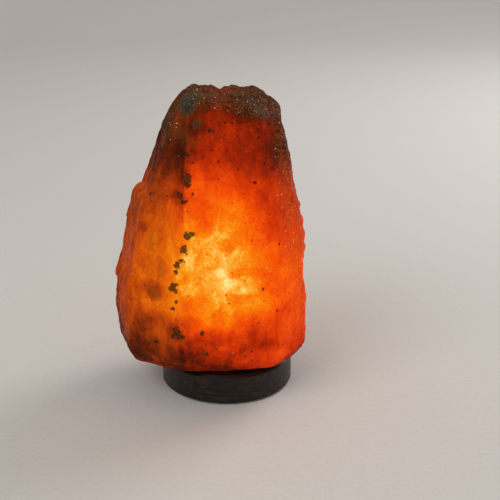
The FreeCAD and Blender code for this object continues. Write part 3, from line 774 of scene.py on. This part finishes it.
# dark grains of ore in the front of the rock: how far right, how high, and the radius
GRAINS = [
    (3.0, 208, 1.9), (5.5, 207, 1.2), (-8.0, 203, 1.0), (-13.7, 192, 2.0), (-14.0, 177, 3.4),
    (-12.8, 172.5, 2.6), (-20.8, 164.5, 2.2), (-18.6, 162, 1.5), (-16.1, 160, 2.2), (-10.4, 166, 1.0),
    (-41.3, 161, 1.7), (34.3, 171, 1.3), (-13.5, 137.4, 2.8), (-10.5, 138.5, 1.8), (-16.5, 127, 2.9),
    (-14.6, 130, 1.6), (-21.7, 116, 2.5), (-19.2, 118, 2.1), (-17.2, 121, 1.0), (-23.2, 110.6, 1.9),
    (-24.9, 99, 3.0), (-23.3, 95.5, 2.1), (-20.5, 100, 1.3), (-22.4, 87.7, 1.6),
    (-26.1, 81.5, 1.8), (-22.9, 64.3, 3.8), (-20.0, 60.5, 2.8), (-25.0, 60.0, 1.8), (-4.3, 65.8, 1.7),
    (-38.7, 52.9, 2.1), (-1.7, 46.8, 1.8), (-3.0, 55, 0.9), (4.9, 52.4, 1.1), (32.3, 47.6, 1.2),
    (15.9, 87.7, 1.0), (40.1, 96.5, 1.2), (52.0, 127.8, 1.3),
]
# clouds in the front of the rock: how far right, how high, half the width, half the height, and how
# much more salt the light seems to pass in them, in millimetres, or less where this is below nothing
CLOUDS = [
    (-39, 94, 11, 11, 12), (-43, 111, 7, 10, 7), (-32, 130, 5, 11, 7), (-33, 72, 14, 9, 9),
    (-24, 64, 7, 10, 8), (-45, 66, 10, 12, 7), (-40, 50, 9, 12, 6), (-13, 72, 12, 8, 9),
    (9, 77, 9, 10, 8), (7, 62, 20, 10, 10), (14, 129, 9, 7, 8), (-1, 150, 10, 13, 6),
    (48, 147, 9, 14, 5), (39, 162, 8, 11, 6), (-46, 137, 5, 5, 8), (32, 66, 7, 14, 8),
    (-15, 176, 5, 10, 5), (-20, 162, 8, 7, 6), (-7, 178, 8, 17, -7),
    (21, 150, 12, 14, -2.5), (25, 100, 22, 9, -8), (40, 86, 15, 9, -4.5), (-14, 119, 8, 9, -5),
    (9, 110, 6, 6, -5), (17, 102, 7, 5, -4), (26, 95, 7, 4, -4.5), (35, 94, 6, 3, -2.5),
    (38, 38, 26, 16, -20), (-20, 32, 22, 11, -6), (36, 198, 18, 22, -5), (36, 168, 8, 16, -4),
    (-47, 62, 12, 16, 3), (-12, 61, 10, 9, 5), (-30, 105, 9, 26, 4), (22, 74, 8, 10, 4),
    (-12, 97, 9, 10, -3), (-50, 44, 14, 16, 8), (10, 104, 28, 26, 7),
    (62, 55, 18, 26, -9), (-66, 80, 16, 34, -4), (-32, 212, 12, 18, 7), (-8, 210, 13, 7, 6),
    (-2, 141, 10, 8, 7.5), (27, 118, 13, 19, -3.5), (-21, 132, 6, 16, 3.5), (-7, 84, 16, 13, 6),
]
# clay in the front of the rock, grey in the crown and thin and brown lower down: its middle, its
# half-width, depth and height, and how much of the glow it hides
CLAY_PATCHES = [
    ((-13, -24, 223), (17, 28, 14), 0.95), ((-7, -27, 212), (8, 24, 9), 0.9),
    ((-14, -28, 203), (20, 30, 10), 0.42), ((-34, -25, 198), (9, 25, 10), 0.45),
    ((-38, -48, 92), (9, 20, 8), 0.42), ((-39, -45, 128), (5, 20, 12), 0.3),
    ((-33, -50, 110), (4, 16, 9), 0.28), ((-20, -40, 47), (9, 20, 8), 0.3),
]
# a grain's middle is the outermost point that lies this near its line straight through the rock
GRAIN_LINE = 1.5
# the salt that the glow is hottest with and the salt that it has gone out with, in millimetres
FIRST_SALT, ALL_SALT = 60.0, 121.0
# how much more salt the light seems to pass, in millimetres: everywhere, near the sole, left of the crack
# and, at random, in clouds of a size; and how much less in the crown
SALT_SKIN, SALT_SOLE, SALT_BESIDE_CRACK = 3, 20, 10
SALT_CLOUD, SALT_CLOUD_SIZE = 4, 26
SALT_CROWN = 18
# and on the sides, where e is how far east the way out heads: EAST e - BEND e^2, or to the west WEST e^2
SALT_EAST, SALT_BEND, SALT_WEST = 43, 21, 17
# what the sole is darker by than the sides round it, and the rock's far left and right than its front
UNDER_SHADE, RIM_SHADE = 0.35, 0.09


def grain_share(points):
    """Falls from 1 in the middle of a dark grain to a half at its radius and 0 further out. The back
    has grains of its own: the front's, upside down and spread out."""
    share = np.zeros(len(points))
    for across, height, radius in GRAINS:
        for side, middle, level in ((-1, across, height), (1, 16 + 1.15 * across, 252 - height)):
            outward = side * points[:, 1]
            behind = np.hypot(points[:, 0] - middle, points[:, 2] - level) < GRAIN_LINE
            if outward[behind].max(initial=0) > 0:
                spot = points[behind][outward[behind].argmax()]
                away = np.linalg.norm(points - spot, axis=1) / radius
                share = np.maximum(share, np.clip(1.2 - 0.7 * away, 0, 1))
    return share


def salt_depth(points):
    """How much salt dims the light at each point, in millimetres: the distance from the filament, more
    towards the right than the left, more near the sole, less in the crown, and cloudy."""
    x, z = points[:, 0], points[:, 2]
    away = points - LIGHT
    level = np.maximum(np.hypot(away[:, 0], away[:, 1]), 1e-6)
    east, north = away[:, 0] / level, away[:, 1] / level
    depth = np.linalg.norm(away, axis=1) + SALT_SKIN
    # the sides count in full 40 mm and more from the axis, but less high up and at the back
    sides = np.where(east > 0, SALT_EAST * east - SALT_BEND * east ** 2, SALT_WEST * east ** 2)
    sides *= 1 - 0.4 * above(z, 130, 60)
    depth += sides * np.clip(level / 40, 0, 1) * (1 - 0.5 * np.clip(north, 0, 1))
    # the foot is dark in its middle, and a little lighter than the rest from 50 mm out
    middle = 1 - 1.3 * above(np.abs(x - 5), 22, 30)
    depth += SALT_SOLE * below(z, 82, 48) * middle
    depth -= SALT_CROWN * above(z, 185, 30)
    # the back has the front's clouds, mirrored and drawn in
    front = points[:, 1] < 0
    for across, height, wide, tall, more in CLOUDS:
        for facing, place in ((front, across), (~front, 14 - 0.85 * across)):
            inside = 1 - ((x - place) / wide) ** 2 - ((z - height) / tall) ** 2
            depth += more * smooth_step(inside) * facing
    # the salt just left of the crack is in the shade of its step
    across = right_of_crack(points)
    beside = smooth_step(0.5 - across / 1.2) * np.exp(-np.abs(across) / 12) * front
    depth += SALT_BESIDE_CRACK * beside * above(z, 128, 20) * below(z, 212, 12)
    return depth + SALT_CLOUD * rough(points, SALT_CLOUD_SIZE, seed=51)


def clay_share(points):
    """How much of the glow the clay hides: each patch's own share in an ellipsoid with ragged edges."""
    ragged = 0.35 * rough(points, 9, seed=61) + 0.35 * rough(points, 3.5, seed=62)
    clay = np.zeros(len(points))
    for middle, half, share in CLAY_PATCHES:
        inside = 1 - np.linalg.norm((points - np.array(middle)) / np.array(half), axis=-1) + ragged
        clay = np.maximum(clay, smooth_step(inside / 0.7) * share)
    return clay


def form_shade(outside, shade, depth):
    """What the form of the skin takes from its glow: the marks' own shades, less on a ridge than in a
    hollow, and more where the rock turns away to the left and the right. depth is the skin's own."""
    plain = soften(outside, 14)
    facing = grid_normals(plain)
    ridge = ((outside - plain) * facing).sum(axis=-1)
    rim = RIM_SHADE * above(np.abs(facing[..., 0]), 0.8, 0.2) * above(outside[..., 2], 60, 50)
    relief = MARK_SHADE * shade - RIDGE_GLOW * np.clip(ridge, -RIDGE_MOST, RIDGE_MOST)
    return rim.ravel() + relief.ravel() * np.interp(depth, *RELIEF_SHOWS)


def bore_and_sole(edge):
    """Rings from the middle of the bore's ceiling, down its wall and out over the sole towards its edge:
    (x + r cos a, r sin a, z), and then shares of the way to the edge."""
    ways = level_ways(COLUMNS)

    def bore_ring(radius, height):
        return np.array([AXIS_X, 0, 0]) + ways * radius + np.array([0, 0, height])

    ceiling = np.linspace(0, 1, CEILING_ROWS + 1)[1:]
    wall = np.linspace(BORE_TOP, SOLE, WALL_ROWS + 1)[1:]
    mouth = bore_ring(BORE_RADIUS, SOLE)
    return [bore_ring(0, BORE_TOP)[:1],
            *(bore_ring(BORE_RADIUS * share, BORE_TOP) for share in ceiling),
            *(bore_ring(BORE_RADIUS, height) for height in wall),
            *(mouth + (edge - mouth) * share for share in np.linspace(0, 1, SOLE_ROWS + 1)[1:-1])]


def make_rock(material):
    """The salt rock in rings, from its bore's ceiling round to its crown, with the numbers for its looks."""
    outside, shade = hew(rock_outside())
    inside = bore_and_sole(outside[0])
    shell = skin_of([*inside, *outside, outside[-1].mean(axis=0, keepdims=True)])
    points = shell[0]
    rock = make_piece("hewn_salt", [shell], "lamp", material, "salt_rock")
    under = (points[:, 2] < SOLE + 0.01) & (from_axis(points) > BORE_RADIUS + WALL_SLACK)
    depth = (salt_depth(points) - FIRST_SALT) / (ALL_SALT - FIRST_SALT) + UNDER_SHADE * under
    # the bore's pole is in this count but comes last in the shell, so the shades lie one point further round
    inner = sum(len(ring) for ring in inside)
    skin = depth[inner:inner + shade.size]
    skin += form_shade(outside, shade, skin)
    amber = 0.9 * smooth_step((-points[:, 0] - 4 + 6 * rough(points, 18, seed=63)) / 32)
    looks = {"salt_deep": depth, "specks": grain_share(points), "amber": amber,
             "grey_clay": clay_share(points), "frost": frost_share(points)}
    for name, values in looks.items():
        add_values(rock, name, values)


# Bulb


# the pitch of the thread on the bulb's small screw cap and in the holder's sleeve
CAP_PITCH = 2.82


def make_envelope(material):
    """The bulb's glass: a thin wall turned about the axis, with a round end, a straight side and a neck."""
    out, foot, top = round_size("bulb_glass")
    wall, crown, shoulder, neck, grip = 0.6, 9.0, 7.0, 6.4, 3.0
    bow = np.linspace(0, math.pi / 2, 24)
    arch = np.stack([out * np.sin(bow), top - crown + crown * np.cos(bow)], axis=-1)
    side = rounded([arch[-1], (out, foot + shoulder), (neck, foot + grip), (neck, foot)], 3, 8)
    outside = fine(np.concatenate([arch, side[1:]]), 1.5)
    inside = outside[::-1].copy()
    inside[:, 0] = np.maximum(inside[:, 0] - wall, 0)
    inside[:, 1] = np.minimum(inside[:, 1], top - wall)
    # inside, the points that the wall's thickness brings to the axis are left out, but for the last
    profile = np.concatenate([outside, inside[inside[:, 0] > wall / 2], inside[-1:]])
    make_turned("bulb_envelope", profile, 96, None, "bulb", material, "bulb_glass")


def make_bulb_cap(material):
    """The bulb's cap: a plain collar over a rolled thread, closed below, with a well for the neck."""
    out, foot, top = round_size("bulb_cap")
    bore, floor = out - 0.35, top - 3
    corners = [(0, foot), (out - 1.4, foot), (out, foot + 1.6), (out, top), (bore, top), (bore, floor),
               (0, floor)]
    rolled = thread(foot + 1, top - 4, CAP_PITCH, 0.75, (out - 1.0, out + 0.1))
    make_turned("rolled_bulb_cap", fine(rounded(corners, 0.3), 0.3), 96, rolled,
                "bulb", material, "bulb_cap")


def make_insulator(material):
    """The glass between the cap and its contact: a bowed cone turned about the axis."""
    out, foot, top = round_size("cap_insulator")
    corners = [(0, foot), (2.7, foot), (3.6, foot + 1.6), (out, foot + 2.4), (out, top), (0, top)]
    make_turned("bulb_cap_glass", fine(rounded(corners, 0.7), 0.4), 72, None,
                "bulb", material, "cap_insulator")


def make_solder_tip(material):
    """The bulb's contact: a drop of solder, a quarter ellipse turned, a little lopsided where it set."""
    out, foot, top = round_size("bulb_tip")
    bow = np.linspace(0, math.pi / 2, 12)
    drop = np.stack([out * np.sin(bow), top - (top - foot) * np.cos(bow)], axis=-1)
    rim, lean, shrink = 0.2, 0.06, 0.04
    profile = np.concatenate([drop, [(out - rim, top + rim), (0, top + rim)]])

    def lopsided(angle, radius, height):
        return lean * np.sin(angle + 1) * radius - shrink * radius

    make_turned("solder_contact", profile, 48, lopsided, "bulb", material, "bulb_tip")


def make_stem(material):
    """The glass stem that carries the wires: flared below, pinched flat above.

    Turned about the axis, with the radius times 1 + pinch (cos 2a - 1) / 2 towards the top.
    """
    _, foot, top = round_size("glass_stem")
    corners = [(0, foot), (5.6, foot), (5.5, foot + 1.2), (2.5, foot + 5), (2.3, top - 8), (2.4, top - 1),
               (1.8, top), (0, top)]

    def pinch(angle, radius, height):
        return radius * above(height, top - 10, 4) * 0.5 * (np.cos(2 * angle) - 1) / 2

    make_turned("flared_stem", fine(rounded(corners, 1.0), 0.6), 64, pinch,
                "bulb", material, "glass_stem")


def make_leads(material):
    """Two round wires that rise inside the stem, spread above it and stand up to the filament's ends."""
    out, foot, tip = round_size("lead_wires")
    gauge = 0.28
    # how far each wire reaches down into the stem, and how far from the axis it stands there and at its tip
    sunk, close, reach = 18, 1.5, out - 0.3
    corners = [(1.3, foot - sunk), (close, foot), (close, foot + 2), (reach, foot + 10), (reach, tip - 0.1)]
    path = fine(rounded(corners, 1.4, 8), 0.5)
    shells = [skin_of(wire(upright(path * [way, 1]), gauge)) for way in (1, -1)]
    make_piece("round_lead_wires", shells, "bulb", material, "lead_wires")


def make_filament(material):
    """The filament: fine wire wound on a zigzag, centre + coil radius (cos w n + sin w m) along it."""
    reach, foot, peak = FILAMENT_REACH - 0.45, FILAMENT_FOOT + 0.2, FILAMENT_TOP - 0.5
    coil, pitch, gauge = 0.42, 0.42, 0.11
    corners = [(reach, foot), (reach / 2, peak), (0, foot + 0.3), (-reach / 2, peak), (-reach, foot)]
    spine = upright(fine(rounded(corners, 0.7, 8), pitch / 14))
    way = unit(np.gradient(spine, axis=0))
    gone = np.concatenate([[0], np.cumsum(np.linalg.norm(np.diff(spine, axis=0), axis=1))])
    turns = (TURN * gone / pitch)[:, None]
    side = np.cos(turns) * np.array([0, 1, 0]) + np.sin(turns) * np.cross(way, (0, 1, 0))
    shell = skin_of(wire(spine + coil * side, gauge, side, 6))
    make_piece("coiled_filament", [shell], "bulb", material, "filament")


# Holder and its fixings


def make_holder_cap(material):
    """The holder's cap: a cup with 28 flutes round its grip, radius less depth (1 + cos 28 a) / 2."""
    out, foot, top = round_size("holder_cap")
    bore, floor, hole = out - 1.5, foot + 4.5, 4.95
    corners = [(hole, foot), (out, foot), (out, top), (bore, top), (bore, floor), (hole, floor), (hole, foot)]
    flutes, depth = 28, 0.5

    def fluted(angle, radius, height):
        fade = above(height, foot + 1.5, 1.5) * below(height, top - 2, 1.5)
        return -depth * fade * (radius > bore + 0.7) * (0.5 + 0.5 * np.cos(flutes * angle))

    make_turned("fluted_holder_cap", fine(rounded(corners, 0.6), 0.6), 8 * flutes, fluted,
                "holder", material, "holder_cap")


def make_holder_shell(material):
    """The holder's shell: a tube with a coarse thread outside its upper half."""
    out, foot, top = round_size("holder_shell")
    coarse = thread(foot + 15, top - 2, 3.0, 0.7, (out - 0.8, out + 0.1))
    profile = fine(rounded(tube_wall(8.3, out, foot, top), 0.5), 0.35)
    make_turned("threaded_holder_shell", profile, 96, coarse, "holder", material, "holder_shell")


def make_sleeve(material):
    """The holder's threaded sleeve: a thin tube whose wall waves in and out with the bulb's thread."""
    out, foot, top = round_size("screw_sleeve")
    wall = 0.4
    rolled = thread(foot + 1, top - 1, CAP_PITCH, 0.22, (0, out + 0.1))
    profile = fine(rounded(tube_wall(out - wall, out, foot, top), 0.12, 2), 0.35)
    make_turned("rolled_sleeve", profile, 96, rolled, "holder", material, "screw_sleeve")


def make_nipple(material):
    """The hollow nipple that the cord comes through: a tube with a fine thread outside."""
    out, foot, top = round_size("cord_nipple")
    cut = thread(foot + 0.3, top - 0.3, 1.0, 0.5, (out - 0.3, out + 0.1))
    profile = fine(rounded(tube_wall(4.0, out, foot, top), 0.25), 0.12)
    make_turned("threaded_nipple", profile, 96, cut, "holder", material, "cord_nipple")


def make_nut(material):
    """The nipple's nut: a hexagon, radius = half across flats / cos(angle from the flat), held inside a
    cone at both ends that takes the corners off."""
    _, foot, top = round_size("nipple_nut")
    half, bore = 7.0, 5.0
    corner = half / math.cos(TURN / 12)
    profile = fine(rounded(tube_wall(bore, corner, foot, top), 0.15, 2), 0.15)

    def hexagon(angle, radius, height):
        if radius < bore + 0.1:
            return 0
        from_flat = (angle + TURN / 12) % (TURN / 6) - TURN / 12
        cone = half - 0.1 + 1.8 * min(height - foot, top - height)
        return np.minimum(np.minimum(half / np.cos(from_flat), cone), radius) - radius

    make_turned("chamfered_nut", profile, 144, hexagon, "holder", material, "nipple_nut")


def make_screws(material):
    """Two wood screws, driven up through the base: a domed head with a cross recess and a threaded shank.

    The recess sinks the head by its depth wherever the smaller of |x| and |y| is under its half width.
    """
    out, foot, top = round_size("base_screws")
    head, thick, shank = 4.0, 2.4, 2.0
    circle = out - head
    half_width, reach_out, depth = 0.62, 2.5, 1.3
    radii = np.concatenate([np.linspace(0, 3.4, 26), np.linspace(3.5, head, 5)])
    dome = np.stack([radii, foot + 0.5 * (radii / head) ** 2], axis=-1)
    under = foot + thick
    rest = [(head, under - 0.4), (head - 0.3, under), (shank, under), (shank, top - 5), (0, top)]
    profile = np.concatenate([dome, fine(np.array(rest), 0.3)])
    cut = thread(under + 6, top - 1, 1.75, 0.6, (0.9, shank + 0.1))
    shells = []
    for way in (1, -1):
        axis = np.array([AXIS_X + way * circle, 0])
        rings = turned(profile, 64, cut, axis)
        for ring in rings[:len(radii)]:
            x, y = (ring[:, :2] - axis).T
            across = np.minimum(np.abs(x), np.abs(y))
            cross = smooth_step((half_width - across) / 0.14 + 0.5)
            ring[:, 2] += depth * cross * smooth_step((reach_out - np.hypot(x, y)) / 0.3 + 0.5)
        shells.append(skin_of(rings))
    make_piece("cross_head_screws", shells, "lamp", material, "base_screws")


def make_pads(material):
    """Four rubber feet: discs with a rounded rim and a shallow dish underneath."""
    out, foot, top = round_size("foot_pads")
    radius = 6.0
    place = out - radius
    dish, rim = foot + 0.35, foot + 0.6
    corners = [(0, dish), (2.6, dish), (3.4, foot), (radius - 0.5, foot), (radius, rim), (radius, top),
               (0, top)]
    profile = fine(rounded(corners, 0.4), 0.4)
    shells = [skin_of(turned(profile, 64, None, (AXIS_X + east * place, north * place)))
              for east in (1, -1) for north in (1, -1)]
    make_piece("rubber_feet", shells, "lamp", material, "foot_pads")


# Camera, light and floor


def place_camera():
    """The photograph's view: 30 mm right of the frame's middle, and looking down by 20.7 degrees."""
    data = bpy.data.cameras.new("Camera")
    data.lens = 79.2
    data.sensor_width = 36
    camera = bpy.data.objects.new("Camera", data)
    camera.location = (0.0301, -0.7754, 0.3978)
    camera.rotation_euler = (math.radians(90 - 20.7), 0, 0)
    bpy.context.scene.collection.objects.link(camera)
    bpy.context.scene.camera = camera


def place_lamp(name, place, aim, size, watts):
    """A square soft light at a place, in metres, turned to face a point."""
    data = bpy.data.lights.new(name, "AREA")
    data.size = size
    data.energy = watts
    lamp = bpy.data.objects.new(name, data)
    lamp.location = place
    away = np.array(place) - np.array(aim)
    flat = math.hypot(away[0], away[1])
    lamp.rotation_euler = (math.atan2(flat, away[2]), 0, math.atan2(away[0], -away[1]))
    bpy.context.scene.collection.objects.link(lamp)


def light_room():
    """A large soft light at the front left, a smaller one behind on the right and a pale, even room."""
    aim = (0, 0, 0.1)
    place_lamp("Key", (-0.9, -1.1, 1.3), aim, 1.2, 10)
    place_lamp("Rim", (1.0, 0.9, 0.9), aim, 0.8, 9)
    world = bpy.data.worlds.new("Room")
    bpy.context.scene.world = world
    world.use_nodes = True
    room = world.node_tree
    feed(room, room.nodes["Background"], {"Color": colour("#e9e6e1"), "Strength": 0.5})


def lay_floor():
    """A round pale floor that curves up behind: height = (distance past the edge) squared over its bend."""
    columns, rows = 96, 60
    edge, bend = 1500, 1800
    reach = np.concatenate([[0.001], np.linspace(40, 3200, rows)])
    rise = np.where(reach > edge, (reach - edge) ** 2 / bend, 0)
    points = level_ways(columns) * reach[:, None, None] + rise[:, None, None] * np.array([0, 0, 1])
    quads = tube_faces(rows + 1, columns)[:, ::-1]
    material, tooth = start_noisy("pale paper backdrop", (3, 3.0))
    finish(material, {"Base Color": (tooth, [(0.3, "#dedbd6"), (0.7, "#e4e1dc")]), "Roughness": 0.9})
    floor = make_thing("Floor", points.reshape(-1, 3), quads.tolist(), material)


def dress_node(node, material):
    """Gives a CAD node its finish in place of the frame's."""
    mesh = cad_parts[node].data
    mesh.materials.clear()
    mesh.materials.append(material)


spring = metal("spring steel strip", "#77797c", "#9b9c9e", 0.3, 0.4)
brass = metal("drawn brass", "#a8823a", "#cfa856", 0.28, 0.5)
white_moulding = moulded_urea()

dress_node("wooden_base", stained_wood())
for sprung in ("clip_plate", "spring_clip_1", "spring_clip_2", "spring_clip_3"):
    dress_node(sprung, spring)
dress_node("centre_contact", brass)
dress_node("contact_insert", steatite())

make_rock(salt_crystal())
make_envelope(clear_glass("blown bulb glass", "#fbfaf6"))
make_bulb_cap(metal("nickel-plated brass", "#a8a297", "#c8c2b6", 0.22, 0.5))
make_insulator(black_glass())
make_solder_tip(metal("tin solder", "#8a8b8a", "#b0b0ac", 0.45, 0.8))
make_stem(clear_glass("lead glass stem", "#eef2ee"))
make_leads(metal("nickel wire", "#7c7870", "#9d988e", 0.35, 0.3))
make_filament(glowing_tungsten())
make_holder_cap(white_moulding)
make_holder_shell(white_moulding)
make_sleeve(brass)
make_nipple(brass)
make_nut(brass)
make_screws(metal("zinc-plated steel", "#8f9296", "#b4b6b8", 0.38, 0.7))
make_pads(rubber())
place_camera()
light_room()
lay_floor()

scene = bpy.context.scene
scene.view_settings.view_transform = "Standard"
